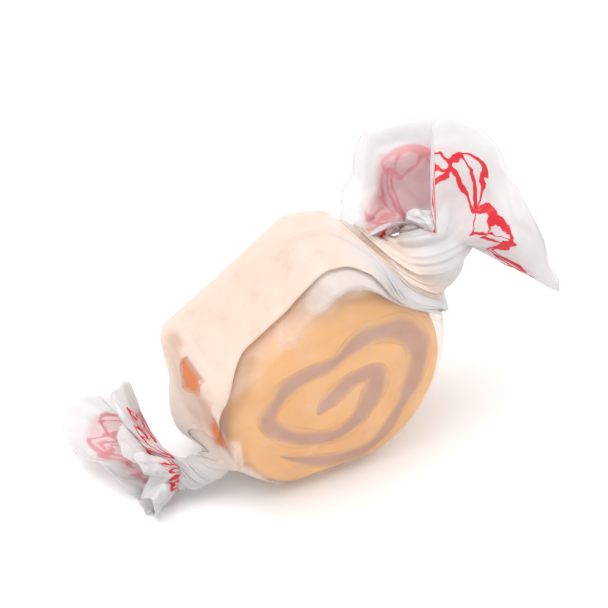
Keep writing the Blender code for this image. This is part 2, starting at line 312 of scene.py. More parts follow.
# %% The paper's tube
LAP_STEP, LAP_RAMP = 0.00055, 0.03
SHEET_START, SHEET_END = math.radians(-62), math.radians(29)
SHEET_END_LEFT, BOW_START, BOW_LENGTH, BOWED_SHARE = math.radians(46), 0.002, 0.007, 0.15
COLUMNS_A_TURN = 222
BELLY_SQUARENESS = 5.0
BAND_CORNERS = ((-0.0084, 0.0126), (0.0086, 0.0123))
SHOULDER_START = 0.0088
TWIST_START = 0.0095
PLEAT_START = 0.0112
RIGHT_END = {
    "side": 1, "neck": (0.0150, 0.0009, 0.0013), "neck_radius": 0.0040,
    "neck_length": 0.0034, "shoulder_twist": math.radians(190), "neck_twist": math.radians(120),
    "out": (0.613, 0.431, 0.662), "face": (-0.321, -0.630, 0.707),
    "spread": math.radians(120), "lean": math.radians(24),
    "folds": (-1, -0.88, -0.65, -0.49, -0.35, -0.22, -0.07, 0.03, 0.14, 0.23, 0.37, 0.63, 0.86, 1),
    "reach": (9.7, 7.8, 7.3, 7.7, 8.8, 11.0, 12.0, 11.7, 11.2, 11.2, 8.0, 5.9, 6.4, 7.0),
    "notch": (-0.01, 0.05, 0.86, 0.97, 0.80), "hood_from": -0.16,
    "hood": -0.0022, "open": 0.0019, "ripple": 0.0010, "phase": 0.6, "pleats": 0.30,
}
LEFT_END = {
    "side": -1, "neck": (0.0138, 0.0008, 0.0022), "neck_radius": 0.0017,
    "neck_length": 0.0042, "shoulder_twist": math.radians(60), "neck_twist": math.radians(150),
    "out": (-0.837, 0.537, 0.098), "face": (-0.10, -0.50, 0.86),
    "spread": math.radians(58), "lean": 0.0,
    "folds": (-1, -0.75, -0.47, -0.32, -0.17, 0, 0.17, 0.22, 0.37, 0.49, 0.68, 0.81, 1),
    "reach": (3.4, 3.6, 4.4, 5.2, 6.8, 8.8, 11.8, 12.9, 13.3, 12.1, 9.5, 8.6, 8.6),
    "notch": (-0.60, -0.25, 0.55, 0.80, 0.45), "hood_from": -0.75,
    "hood": 0.0006, "open": 0.0017, "ripple": 0.0010, "phase": 2.1, "pleats": 0.17,
}


def upper_edge(points, at):
    """Height over `at` of a string pulled tight over the points: the highest chord of any two."""
    points = points[np.argsort(points[:, 0])]
    x, y = points[:, 0], points[:, 1]
    first, second = np.triu_indices(len(x), 1)
    share = (at - x[first]) / np.maximum(x[second] - x[first], 1e-9)
    height = y[first] + share * (y[second] - y[first])
    return height[(share >= 0) & (share <= 1)].max()


def neck_points(axis, sign):
    return [
        (end["side"] * end["neck"][0], sign * end["neck"][axis] + end["neck_radius"])
        for end in (LEFT_END, RIGHT_END)
    ]


def section_size(x):
    """Middle and half size of the paper's section at x along T, in the N and A directions."""
    angle = np.linspace(0, 2 * math.pi, 121)
    radius = log_radius(angle) + PAPER_CLEAR
    outline = np.stack([radius * np.cos(angle), radius * np.sin(angle)], axis=1)
    top = upper_edge(np.vstack([outline, BAND_CORNERS, neck_points(1, 1)]), x)
    bottom = upper_edge(np.vstack([outline * (1, -1), neck_points(1, -1)]), x)
    tip, side = rounded_square(np.linspace(0, math.pi, 61), BELLY_SQUARENESS)
    widest = FACE_RADIUS * (1 + OVAL + LOBE)
    size = (widest + PAPER_CLEAR, HALF_LENGTH + PAPER_CLEAR)
    length = np.stack([tip * size[0], side * size[1]], axis=1)
    front = upper_edge(np.vstack([length, neck_points(2, 1)]), x)
    back = upper_edge(np.vstack([length, neck_points(2, -1)]), x)
    return (top - bottom) / 2, (top + bottom) / 2, (front - back) / 2, (front + back) / 2


def girth_angle(turn):
    """Angle round the tube after `turn` turns of equal paper, measured on the middle section."""
    angle = np.linspace(-math.pi, math.pi, 721)
    c, s = rounded_square(angle, BELLY_SQUARENESS)
    step = np.hypot(np.diff(c) * FACE_RADIUS, np.diff(s) * HALF_LENGTH)
    length = np.concatenate([[0], np.cumsum(step)])
    whole = np.floor(turn + 0.5)
    return np.interp(turn - whole + 0.5, length / length[-1], angle) + 2 * math.pi * whole


def turn_at(angle):
    turns = np.linspace(-0.5, 0.5, 721)
    return float(np.interp(angle, girth_angle(turns), turns))


def paper_turns():
    """Each column's place round the tube; the lap's columns lie on those of the first turn."""
    start = turn_at(SHEET_START)
    steps = round((1 + turn_at(SHEET_END) - start) * COLUMNS_A_TURN)
    return start + np.arange(steps + 1) / COLUMNS_A_TURN


def gathers(turns, depth):
    """Share of the full radius: triangular pleats of four sizes, so that no two are alike."""
    saw = [
        size * np.abs((count * turns + shift) % 1 * 2 - 1)
        for count, shift, size in ((5, 0.1, 0.5), (11, 0.35, 0.28), (17, 0.7, 0.14), (29, 0.2, 0.08))
    ]
    return 1 - depth * (1 - sum(saw))


def bowed(x, turns):
    """The lap's edge lies further down the front at the left: its last columns move round."""
    down = turn_at(SHEET_END_LEFT) - turn_at(SHEET_END)
    last_columns = smooth((turns - turns[-1] + BOWED_SHARE) / BOWED_SHARE)
    return turns + down * smooth((-x - BOW_START) / BOW_LENGTH) * last_columns


def belly_ring(x, turns, pleated):
    """The section at x: middle plus half size times a rounded square that turns near the neck.

    `pleated` is 0 for a smooth tube and 1 for one with its pleats.
    """
    n_mid, n_half, a_mid, a_half = section_size(x)
    end = RIGHT_END if x > 0 else LEFT_END
    rounded = smooth((abs(x) - SHOULDER_START) / (end["neck"][0] - SHOULDER_START)) ** 2
    twisted = smooth((abs(x) - TWIST_START) / (end["neck"][0] - TWIST_START)) ** 2
    gathered = smooth((abs(x) - PLEAT_START) / (end["neck"][0] - PLEAT_START))
    power = BELLY_SQUARENESS + (2 - BELLY_SQUARENESS) * rounded
    angle = girth_angle(turns) + end["side"] * end["shoulder_twist"] * twisted
    c, s = rounded_square(angle, power)
    fold = gathers(turns, end["pleats"] * pleated * gathered)
    return np.stack([np.full_like(c, x), n_mid + n_half * fold * c, a_mid + a_half * fold * s], 1)


def fan_axes(end):
    """The fan's out, across and face directions, in the candy's axes."""
    out = unit(np.array(end["out"]) @ CANDY_AXES)
    face = np.array(end["face"]) @ CANDY_AXES
    face = unit(face - out * (face @ out))
    return out, np.cross(face, out) * end["side"], face


def neck_frame(share, end):
    """Centre and cross directions of the neck, which bends from T to the fan's out."""
    out, across, _ = fan_axes(end)
    axis = np.array([end["side"], 0.0, 0.0])
    base = np.array(end["neck"]) * (end["side"], 1, 1)
    lean = unit(axis + (out - axis) * share)
    centre = base + end["neck_length"] * share * unit(axis + (out - axis) * share / 2)
    first = np.array([0.0, 1.0, 0.0]) * (1 - share) + across * share
    first = unit(first - lean * (first @ lean))
    return centre, first, np.cross(lean, first) * end["side"]


def neck_ring(share, turns, end, pleated):
    """A round section of the gathered neck, share of the way from the shoulder to the fan."""
    centre, first, second = neck_frame(share, end)
    angle = girth_angle(turns) + end["side"] * (end["shoulder_twist"] + end["neck_twist"] * share)
    radius = end["neck_radius"] * gathers(turns, end["pleats"] * pleated)
    return (
        centre
        + (radius * np.cos(angle))[:, None] * first
        + (radius * np.sin(angle))[:, None] * second
    )


FOLD_SHARPNESS, FOLD_ROUNDNESS, RIPPLES, HOOD_START = 0.97, 0.75, 2.5, 0.72


def fan_ring(share, turns, end, pleated):
    """A flattened tube: fold runs from one edge to the other and back, and each line is a spoke.

    The front layer is drawn back between two folds, which opens the tube's mouth, and the
    back layer's rim bends there like a hood.
    """
    out, across, face = fan_axes(end)
    centre, _, _ = neck_frame(1.0, end)
    angle = girth_angle(turns) + end["side"] * (end["shoulder_twist"] + end["neck_twist"])
    radius = end["neck_radius"] * gathers(turns, end["pleats"] * pleated * (1 - share) ** 2)
    fold = np.arcsin(FOLD_SHARPNESS * np.cos(angle)) / math.asin(FOLD_SHARPNESS)
    spoke = end["spread"] * fold + end["lean"]
    reach = share * np.interp(fold, end["folds"], end["reach"]) / 1000
    low, full, over, high, deep = end["notch"]
    mouth = smooth((fold - low) / (full - low)) * smooth((high - fold) / (high - over))
    front = np.sin(angle) > 0
    reach = reach * np.where(front, 1 - deep * mouth, 1)
    bulge = np.abs(np.sin(angle)) ** FOLD_ROUNDNESS * np.sign(np.sin(angle))
    layer = radius * (1 - share) * np.sin(angle) + end["open"] * share * bulge
    wide = smooth((fold - end["hood_from"]) / 0.2) * smooth((high + 0.2 - fold) / 0.3)
    rim = max(share - HOOD_START, 0) / (1 - HOOD_START)
    layer = layer + end["hood"] * np.where(front, 0, wide) * rim
    wave = end["ripple"] * share * np.sin(RIPPLES * math.pi * fold + end["phase"])
    return (
        centre
        + (reach * np.cos(spoke))[:, None] * out
        + (radius * np.cos(angle) + reach * np.sin(spoke))[:, None] * across
        + (layer + wave)[:, None] * face
    )


FAN_ROWS, NECK_ROWS, SHOULDER_ROWS, BELLY_ROWS = 30, 10, 26, 26


def single_rings(turns, pleated):
    """Every section of the sheet without its lap, from the left cut edge to the right one."""
    fan = np.linspace(0, 1, FAN_ROWS + 1)[1:]
    neck = np.linspace(0, 1, NECK_ROWS + 1)[1:]
    belly = np.linspace(-SHOULDER_START, SHOULDER_START, BELLY_ROWS + 1)[1:-1]
    left = np.linspace(SHOULDER_START, LEFT_END["neck"][0], SHOULDER_ROWS + 1)
    right = np.linspace(SHOULDER_START, RIGHT_END["neck"][0], SHOULDER_ROWS + 1)
    at_left = bowed(-LEFT_END["neck"][0], turns)
    rings = [fan_ring(share, at_left, LEFT_END, pleated) for share in fan[::-1]]
    rings += [neck_ring(share, at_left, LEFT_END, pleated) for share in neck[::-1]]
    rings += [belly_ring(-x, bowed(-x, turns), pleated) for x in left[::-1]]
    rings += [belly_ring(x, bowed(x, turns), pleated) for x in belly]
    rings += [belly_ring(x, turns, pleated) for x in right]
    rings += [neck_ring(share, turns, RIGHT_END, pleated) for share in neck]
    rings += [fan_ring(share, turns, RIGHT_END, pleated) for share in fan]
    return np.array(rings)


turns = paper_turns()
plain = single_rings(turns, 0.0)
print("the sheet is a grid of", plain.shape[:2])

# %% [markdown]
# ## Creases
#
# Crushed paper is made of flat facets that meet in sharp creases. There is a neat way to
# get them: take two sets of random points, and at each place subtract the squared
# distance to the nearest point of one set from that of the other. The squares cancel,
# so what is left is flat between the creases. The sheet's own millimetres are the
# coordinates, so the facets are the paper's and stretch with nothing.

# %% Facets and sheet coordinates
def sheet_millimetres(rings):
    """Across: the column's share of the belly's girth.  Along: mean length down the rows."""
    girth = np.linalg.norm(np.diff(rings[len(rings) // 2], axis=0), axis=1).sum() * 1000
    across = np.linspace(0, girth, rings.shape[1])
    step = np.linalg.norm(np.diff(rings, axis=0), axis=2).mean(axis=1) * 1000
    along = np.concatenate([[0], np.cumsum(step)])
    return np.meshgrid(across, along)


def facets(x, y, spacing, seed):
    """(nearest of set one)^2 - (nearest of set two)^2, over the spacing: about -1 to 1."""
    chance = np.random.default_rng(seed)
    count = int((np.ptp(x) + 2 * spacing) * (np.ptp(y) + 2 * spacing) / spacing**2)
    height = np.zeros_like(x)
    for sign in (1, -1):
        px = chance.uniform(x.min() - spacing, x.max() + spacing, count)
        py = chance.uniform(y.min() - spacing, y.max() + spacing, count)
        nearest = np.full_like(x, np.inf)
        for a, b in zip(px, py):
            np.minimum(nearest, (x - a) ** 2 + (y - b) ** 2, out=nearest)
        height += sign * nearest
    return height / spacing**2 / 0.35


def cut_edge_distance(rings):
    """Length down each column from its nearer cut edge, in the fans; 10 mm or more elsewhere."""
    step = np.linalg.norm(np.diff(rings, axis=0), axis=2) * 1000
    from_left = np.vstack([0 * step[:1], np.cumsum(step, axis=0)])
    from_right = np.vstack([np.cumsum(step[::-1], axis=0)[::-1], 0 * step[:1]])
    from_left[FAN_ROWS + 1:] += 10
    from_right[:-FAN_ROWS - 1] += 10
    return np.minimum(from_left, from_right)


across_mm, along_mm = sheet_millimetres(plain)
print("flat sheet in mm:", across_mm.max().round(1), "x", along_mm.max().round(1))

# %% [markdown]
# ## Placing the sheet
#
# The pleated tube is pushed outward by the lap, then by the creases. On the belly the
# paper is pulled tight, so there are none, and they grow towards the fans. A wedge of the
# sheet lifts off beside the lap's edge. At the left shoulder a crease runs down from the
# top corner, with a pocket beside it where the paper is thin and the candy's colour shows,
# darkened to a deep orange as painted shade under the belt's edge; a broad pleat bulges
# out behind it, and a small flap stands at the face's lower corner.

# %% The sheet's points
FLOOR_CLEAR = 0.00009
COARSE_CRUSH, FINE_CRUSH = (7.0, 3, 0.00050), (3.2, 8, 0.00022)
WEDGE_LIFT, WEDGE_EDGE, WEDGE_START, WEDGE_LENGTH = 0.0006, math.radians(43), 0.001, 0.008
WEDGE_TURNS, WEDGE_GROWTH = 0.012, 0.12
LAP_PRESSED, PRESS_START, PRESS_LENGTH = 0.75, 0.0112, 0.0025
PLEAT_ALONG, PLEAT_OUT = (-0.0165, -0.0136, 0.0024), (-0.0090, -0.0015, 0.0040)
PLEAT_MOVE = np.array([-0.0017, 0.0004, -0.0009])
FLAP_START, FLAP_END, FLAP_WIDTH = (-0.0122, 0.0024), (-0.0097, 0.0070), 0.0009
FLAP_MOVE = np.array([-0.35, 0.2, 1.0]) * 0.0009


def outward(rings):
    """Direction away from the candy at each point, square to the tube's own line."""
    away = -np.cross(np.gradient(rings, axis=0), np.gradient(rings, axis=1))
    line = np.gradient(rings.mean(axis=1), axis=0)
    line /= np.linalg.norm(line, axis=1)[:, None]
    away -= (away * line[:, None]).sum(axis=2)[..., None] * line[:, None]
    return away / np.linalg.norm(away, axis=2)[..., None]


def bump(x, start, end, soft):
    """1 between start and end, with smooth steps `soft` wide outside them."""
    return smooth((x - start) / soft + 1) * smooth((end - x) / soft + 1)


def ridge(x, y, start, end, width):
    """A sharp fold along a line: 1 on it, and straight down to 0 at `width` from it."""
    start, end = np.array(start), np.array(end)
    run = end - start
    share = ((x - start[0]) * run[0] + (y - start[1]) * run[1]) / (run @ run)
    near = np.clip(share, 0, 1)
    distance = np.hypot(x - start[0] - near * run[0], y - start[1] - near * run[1])
    return np.clip(1 - distance / width, 0, 1)


def wedge_mask(rings):
    """Where the sheet lifts off beside the lap's edge: wider to the right, sharp at its front."""
    row_place = smooth((rings[:, :, 0].mean(axis=1) - WEDGE_START) / WEDGE_LENGTH)[:, None]
    round_place = (turns + 0.5) % 1 - 0.5
    front_edge = turn_at(WEDGE_EDGE)
    back_edge = front_edge - WEDGE_TURNS - WEDGE_GROWTH * row_place
    sharp = smooth((front_edge - round_place) / 0.006)
    return row_place * sharp * smooth((round_place - back_edge) / 0.03)


# Down the crease, sideways from it, and out of the pocket, each a direction in T, N and A.
POCKET_AXES = np.array([[-0.242, -0.588, 0.772], [-0.955, 0.283, -0.084], [0.156, 0.761, 0.630]])
CREASE_TOP, CREASE_SIDE, CREASE_SLANT = 0.0085, 0.0106, 0.09
# The last of these is the share of the pocket's painted shade that the crease's valley gets.
CREASE_DEPTH, POCKET_DEPTH, CREASE_SHADE_SHARE = 0.0008, 0.0006, 0.3
POCKET_PLACES = (0.0018, 0.0026, 0.0050, 0.0064, 0.0072, 0.0088, 0.0098, 0.0116, 0.0126)
POCKET_WIDTHS = (0.0002, 0.0013, 0.0021, 0.0009, 0, 0, 0.0012, 0.0013, 0)


def shaded_pocket_mask(points):
    """A triangle beside the shoulder's crease and a small one below, and the crease's own valley.

    Both are sharp at the crease and soft on their other side. The sheet sinks along them,
    and they mark where the paper is painted in a deep orange shade.
    """
    along, beside, deep = np.moveaxis(points @ POCKET_AXES.T, -1, 0)
    along = along + CREASE_TOP
    beside = beside - CREASE_SIDE - CREASE_SLANT * along
    outside = smooth((deep - 0.002) / 0.002)
    width = np.interp(along, POCKET_PLACES, POCKET_WIDTHS)
    sharp = smooth(beside / 0.00015)
    shaded_pocket = sharp * smooth((width - beside) / 0.0006) * outside
    crease = sharp * smooth((0.0036 - beside) / 0.0034)
    return shaded_pocket, crease * bump(along, 0.0006, 0.0110, 0.0020) * outside


def sheet_points():
    """Sheet points in T, N and A; masks of its wedge, its pocket's painted shade and its flap."""
    away = outward(plain)
    rings = single_rings(turns, 1.0)
    rows = len(rings)
    lap = LAP_STEP * smooth((turns - turns[0] - 1 + LAP_RAMP) / LAP_RAMP)
    pressed = smooth((-rings[:, :, 0].mean(axis=1) - PRESS_START) / PRESS_LENGTH)
    lap = lap * (1 - LAP_PRESSED * pressed[:, None])
    rings = rings + away * lap[..., None]

    belly = FAN_ROWS + NECK_ROWS
    left_fan = np.clip((belly - np.arange(rows)) / belly, 0, 1)
    right_fan = np.clip((np.arange(rows) - (rows - belly)) / belly, 0, 1)
    loose = smooth(1.6 * np.maximum(left_fan, right_fan))[:, None]
    crush = 0
    for spacing, seed, height in (COARSE_CRUSH, FINE_CRUSH):
        crush = crush + facets(across_mm, along_mm, spacing, seed) * height
    rings = rings + away * (crush * loose)[..., None]

    wedge = wedge_mask(rings)
    rings = rings + away * (WEDGE_LIFT * wedge)[..., None]
    t, n, a = np.moveaxis(rings, -1, 0)
    behind = bump(t, *PLEAT_ALONG) * bump(a, *PLEAT_OUT)
    behind = behind * smooth((n - 0.0005) / 0.003)
    rings = rings + PLEAT_MOVE * behind[..., None]

    shaded_pocket, crease = shaded_pocket_mask(rings)
    free = smooth((standing_off(rings) - 0.0003) / 0.0012)
    sunk = (CREASE_DEPTH * crease + POCKET_DEPTH * shaded_pocket) * free
    rings = rings - POCKET_AXES[2] * sunk[..., None]
    t, n, a = np.moveaxis(rings, -1, 0)
    flap = ridge(t, n, FLAP_START, FLAP_END, FLAP_WIDTH) * (a > 0)
    rings = rings + FLAP_MOVE * flap[..., None]

    up = CANDY_AXES[2]
    height = rings @ up + CENTRE_HEIGHT - FLOOR_CLEAR
    rings = rings - np.minimum(height, 0)[..., None] * up
    # The pocket and a share of the crease's valley are later painted in a deep orange shade.
    return rings, wedge, np.maximum(shaded_pocket, CREASE_SHADE_SHARE * crease), flap


# The haze of one clinging layer, and what the belly and its top add to it.
CLING_HAZE, BELLY_HAZE, TOP_HAZE = 0.10, 0.06, 0.18
LAP_HAZE, WEDGE_HAZE, FLAP_HAZE = 0.80, 0.85, 0.8
RIGHT_HAZE_START, RIGHT_HAZE_ON_FACE, RIGHT_HAZE_LENGTH = 0.0085, 0.0035, 0.0025
LEFT_HAZE_START, LEFT_HAZE_LENGTH = 0.0108, 0.0016


def look_through(points, wedge, shaded_pocket, flap):
    """Haze: how white the sheet is, 0 where it clings.  Tint: how much the candy colours it."""
    lap = smooth((turns - turns[0] - 1 + LAP_RAMP) / LAP_RAMP)
    t, a = points[..., 0], points[..., 2]
    place = np.abs((turns + 0.5) % 1 - 0.5)
    on_face = smooth((place - turn_at(WEDGE_EDGE)) / 0.01)
    start = RIGHT_HAZE_START + RIGHT_HAZE_ON_FACE * on_face
    left = smooth((gauge(points) - 1.10) / 0.08) * smooth((0.0045 - a) / 0.0015) * (t < -0.006)
    left = np.maximum(left, smooth((-t - LEFT_HAZE_START) / LEFT_HAZE_LENGTH))
    right = smooth((t - start) / RIGHT_HAZE_LENGTH)
    half = np.arange(len(points)) / (len(points) - 1) - 0.5
    in_fan = (np.abs(half) > 0.5 - FAN_ROWS / len(points))[:, None]
    apart = np.maximum(np.maximum(left, right), in_fan)
    on_top = smooth((turn_at(math.radians(80)) - place) / 0.05)
    on_belly = smooth((0.0068 - np.abs(a)) / 0.0008)
    single = CLING_HAZE + (BELLY_HAZE + TOP_HAZE * on_top) * on_belly
    haze = np.maximum(np.maximum(single, LAP_HAZE * lap), np.maximum(WEDGE_HAZE * wedge, apart))
    beyond = np.maximum(smooth((t - start - 0.0020) / 0.0030), smooth((-t - 0.0125) / 0.0035))
    tint = (1 - 0.65 * wedge * (1 - lap)) * (1 - beyond)
    haze = np.maximum(haze * (1 - shaded_pocket), FLAP_HAZE * smooth(flap))
    return haze, tint * (1 - in_fan)


UV_MILLIMETRES = 100.0
PAPER_THICKNESS = 0.00008

points, wedge, shaded_pocket, flap = sheet_points()
rows, columns = points.shape[:2]
sheet_uv = np.stack([across_mm, along_mm], -1).reshape(-1, 2) / UV_MILLIMETRES
edge_mm = cut_edge_distance(plain)
haze, tint = look_through(points, wedge, shaded_pocket, flap)
paper = make_object(
    "waxed_paper",
    to_world(points.reshape(-1, 3)),
    open_grid(rows, columns),
    {"edge": edge_mm, "haze": haze, "tint": tint, "shaded_pocket": shaded_pocket},
    sheet_uv,
)
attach(paper, "root")
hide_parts("wrapper")
thick = paper.modifiers.new("thickness", "SOLIDIFY")
thick.thickness = PAPER_THICKNESS
thick.offset = 0
thick.material_offset = 1
print("paper quads:", (rows - 1) * (columns - 1))

# %% [markdown]
# ## Shared effects
#
# Three effects are used by more than one material, so each is a node group with its own
# inputs and outputs. The first is the mottling of a pulled, waxy thing: soft blotches and
# a fine grain. The second is the paper's print and the third its fine creases, which both
# sides of the sheet need.

# %% Node helpers
def new_group(name, inputs, outputs):
    """A shader node group with float or colour sockets, and its two end nodes."""
    group = bpy.data.node_groups.new(name, "ShaderNodeTree")
    for label, kind, value in inputs:
        socket = group.interface.new_socket(label, in_out="INPUT", socket_type=kind)
        socket.default_value = value
    for label, kind in outputs:
        group.interface.new_socket(label, in_out="OUTPUT", socket_type=kind)
    return group, group.nodes.new("NodeGroupInput"), group.nodes.new("NodeGroupOutput")


def add_node(tree, kind, **settings):
    node = tree.nodes.new("ShaderNode" + kind)
    for key, value in settings.items():
        setattr(node, key, value)
    return node


def math_node(tree, operation, *values):
    """A Math node whose inputs are numbers or other nodes' sockets."""
    node = add_node(tree, "Math", operation=operation)
    for socket, value in zip(node.inputs, values):
        if isinstance(value, (int, float)):
            socket.default_value = value
        else:
            tree.links.new(value, socket)
    return node.outputs[0]


def mix_colour(tree, share, first, second):
    """A colour Mix node: first where share is 0, second where it is 1."""
    node = add_node(tree, "Mix", data_type="RGBA")
    for socket, value in ((node.inputs[0], share), (node.inputs[6], first), (node.inputs[7], second)):
        if isinstance(value, (int, float)):
            socket.default_value = value
        elif isinstance(value, tuple):
            socket.default_value = (*value, 1)
        else:
            tree.links.new(value, socket)
    return node.outputs[2]


def map_range(tree, value, low, high, to_low, to_high):
    """A smooth step of value from low to high, as a number from to_low to to_high."""
    node = add_node(tree, "MapRange", interpolation_type="SMOOTHSTEP")
    tree.links.new(value, node.inputs["Value"])
    for key, number in (("From Min", low), ("From Max", high), ("To Min", to_low), ("To Max", to_high)):
        node.inputs[key].default_value = number
    return node.outputs[0]


# %% Mottling
def make_mottling():
    """Blotches (noise at Scale) plus grain (noise at ten times Scale), both 0 to 1."""
    group, start, end = new_group(
        "mottling",
        [("Scale", "NodeSocketFloat", 200.0), ("Stretch", "NodeSocketFloat", 1.0)],
        [("Blotches", "NodeSocketFloat"), ("Grain", "NodeSocketFloat")],
    )
    place = add_node(group, "TexCoord")
    stretch = add_node(group, "CombineXYZ")
    group.links.new(start.outputs["Stretch"], stretch.inputs[2])
    stretch.inputs[0].default_value = stretch.inputs[1].default_value = 1.0
    scaled = add_node(group, "VectorMath", operation="MULTIPLY")
    group.links.new(place.outputs["Object"], scaled.inputs[0])
    group.links.new(stretch.outputs[0], scaled.inputs[1])
    fine = math_node(group, "MULTIPLY", start.outputs["Scale"], 10.0)
    for label, scale, detail in (("Blotches", start.outputs["Scale"], 2.0), ("Grain", fine, 1.0)):
        noise = add_node(group, "TexNoise")
        noise.inputs["Detail"].default_value = detail
        group.links.new(scaled.outputs[0], noise.inputs["Vector"])
        group.links.new(scale, noise.inputs["Scale"])
        group.links.new(noise.outputs["Fac"], end.inputs[label])
    return group


mottling = make_mottling()

# %% [markdown]
# The border is a ribbon of three brushed waves of unlike length that run through each
# other. It is drawn in the sheet's own millimetres: the distance to the cut edge sets
# the row, and the place round the sheet sets the phase. A noise moves both a little, so
# that the brush never repeats itself.

# %% Printed border
BORDER_WAVES = ((5.3, 0.0, 1.7, 2.3), (3.4, 1.9, 0.9, 3.1), (8.3, 4.0, 1.9, 1.7))


def make_border():
    """Mask: 1 near one of three waves of unlike length and height.

    A wave is |v - middle - swing sin(x / length)|, and its line swells and thins as it goes.
    """
    group, start, end = new_group(
        "printed_border",
        [("Middle", "NodeSocketFloat", 4.6), ("Width", "NodeSocketFloat", 0.27),
         ("Soft", "NodeSocketFloat", 0.06)],
        [("Mask", "NodeSocketFloat")],
    )
    uv = add_node(group, "UVMap", uv_map="sheet")
    split = add_node(group, "SeparateXYZ")
    group.links.new(uv.outputs[0], split.inputs[0])
    edge = add_node(group, "Attribute", attribute_name="edge")
    rub = add_node(group, "TexNoise")
    rub.inputs["Scale"].default_value = 38.0
    rub.inputs["Detail"].default_value = 3.0
    group.links.new(uv.outputs[0], rub.inputs["Vector"])
    sway = add_node(group, "SeparateXYZ")
    group.links.new(rub.outputs["Color"], sway.inputs[0])
    across = math_node(group, "MULTIPLY", split.outputs[0], UV_MILLIMETRES)
    across = math_node(group, "ADD", across, math_node(group, "MULTIPLY", sway.outputs[0], 4.0))
    row = math_node(group, "SUBTRACT", edge.outputs["Fac"], start.outputs["Middle"])
    row = math_node(group, "ADD", row, math_node(group, "MULTIPLY", sway.outputs[1], 2.0))
    row = math_node(group, "SUBTRACT", row, 1.0)
    near = None
    for length, shift, swing, swell in BORDER_WAVES:
        phase = math_node(group, "MULTIPLY", across, 2 * math.pi / length)
        phase = math_node(group, "ADD", phase, shift)
        wave = math_node(group, "MULTIPLY", math_node(group, "SINE", phase), swing)
        line = math_node(group, "ABSOLUTE", math_node(group, "SUBTRACT", row, wave))
        brush = math_node(group, "SINE", math_node(group, "MULTIPLY", across, swell))
        brush = math_node(group, "ADD", math_node(group, "MULTIPLY", brush, 0.55), 1.1)
        brush = math_node(group, "MULTIPLY", brush, start.outputs["Width"])
        line = math_node(group, "SUBTRACT", line, brush)
        near = line if near is None else math_node(group, "MINIMUM", near, line)
    mask = math_node(group, "SUBTRACT", 0.5, math_node(group, "DIVIDE", near, start.outputs["Soft"]))
    clamp = add_node(group, "Clamp")
    group.links.new(mask, clamp.inputs[0])
    group.links.new(clamp.outputs[0], end.inputs["Mask"])
    return group


border = make_border()

# %% [markdown]
# The finest creases are too many for the sheet's grid, so a relief draws them. They are
# made as the large facets are, from two sets of points: a Voronoi texture finds the
# nearest point of each set, and the difference of the squares is flat between creases.

# %% Crumple
def make_crumple():
    """Height: nearest distance squared to one set of points, minus that to another set."""
    group, start, end = new_group(
        "crumple", [("Scale", "NodeSocketFloat", 34.0)], [("Height", "NodeSocketFloat")])
    uv = add_node(group, "UVMap", uv_map="sheet")
    height = None
    for factor, weight in ((1.0, 1.0), (2.7, 0.4)):
        squares = []
        for shift in (0.0, 7.3):
            moved = add_node(group, "VectorMath", operation="ADD")
            moved.inputs[1].default_value = (shift, shift, 0)
            group.links.new(uv.outputs[0], moved.inputs[0])
            cells = add_node(group, "TexVoronoi", voronoi_dimensions="2D")
            group.links.new(moved.outputs[0], cells.inputs["Vector"])
            group.links.new(
                math_node(group, "MULTIPLY", start.outputs["Scale"], factor), cells.inputs["Scale"])
            squares.append(math_node(group, "POWER", cells.outputs["Distance"], 2.0))
        layer = math_node(group, "MULTIPLY", math_node(group, "SUBTRACT", *squares), weight)
        height = layer if height is None else math_node(group, "ADD", height, layer)
    group.links.new(height, end.inputs["Height"])
    return group


crumple = make_crumple()

# %% [markdown]
# ## Taffy
#
# Pulled sugar is opaque, satin and a little uneven: the tan turns paler where the rope
# was pulled thin, and the brown bleeds into it at the strip's edges. Both materials take
# the same mottling with their own colours.

# %% Candy materials
def candy_material(name, light, dark, bleed=None):
    """Pulled sugar in two shades; with `bleed`, that colour creeps in from the piece's edges."""
    material = bpy.data.materials.new(name)
    material.use_nodes = True
    tree = material.node_tree
    shader = tree.nodes["Principled BSDF"]
    patches = add_node(tree, "Group", node_tree=mottling)
    patches.inputs["Scale"].default_value = 240.0
    blotches = map_range(tree, patches.outputs["Blotches"], 0.35, 0.65, 0.0, 1.0)
    colour = mix_colour(tree, blotches, light, dark)
    if bleed:
        edge = add_node(tree, "Attribute", attribute_name="edge")
        sway = math_node(tree, "SUBTRACT", patches.outputs["Blotches"], 0.5)
        sway = math_node(tree, "MULTIPLY", sway, 1.2)
        ragged = math_node(tree, "ADD", edge.outputs["Fac"], sway)
        colour = mix_colour(tree, map_range(tree, ragged, 0.35, 1.05, 0.0, 1.0), colour, bleed)
    tree.links.new(colour, shader.inputs["Base Color"])
    rough = map_range(tree, patches.outputs["Grain"], 0.3, 0.7, 0.38, 0.55)
    tree.links.new(rough, shader.inputs["Roughness"])
    relief = add_node(tree, "Bump")
    relief.inputs["Strength"].default_value = 0.35
    relief.inputs["Distance"].default_value = 0.00008
    tree.links.new(patches.outputs["Grain"], relief.inputs["Height"])
    tree.links.new(relief.outputs[0], shader.inputs["Normal"])
    return material


TAN_LIGHT, TAN_DARK = (0.84, 0.44, 0.12), (0.78, 0.38, 0.08)
BROWN_LIGHT, BROWN_DARK = (0.50, 0.235, 0.15), (0.42, 0.19, 0.12)
taffy.data.materials.append(candy_material("tan_taffy", TAN_LIGHT, TAN_DARK))
spiral.data.materials.append(candy_material("brown_taffy", BROWN_LIGHT, BROWN_DARK, TAN_DARK))

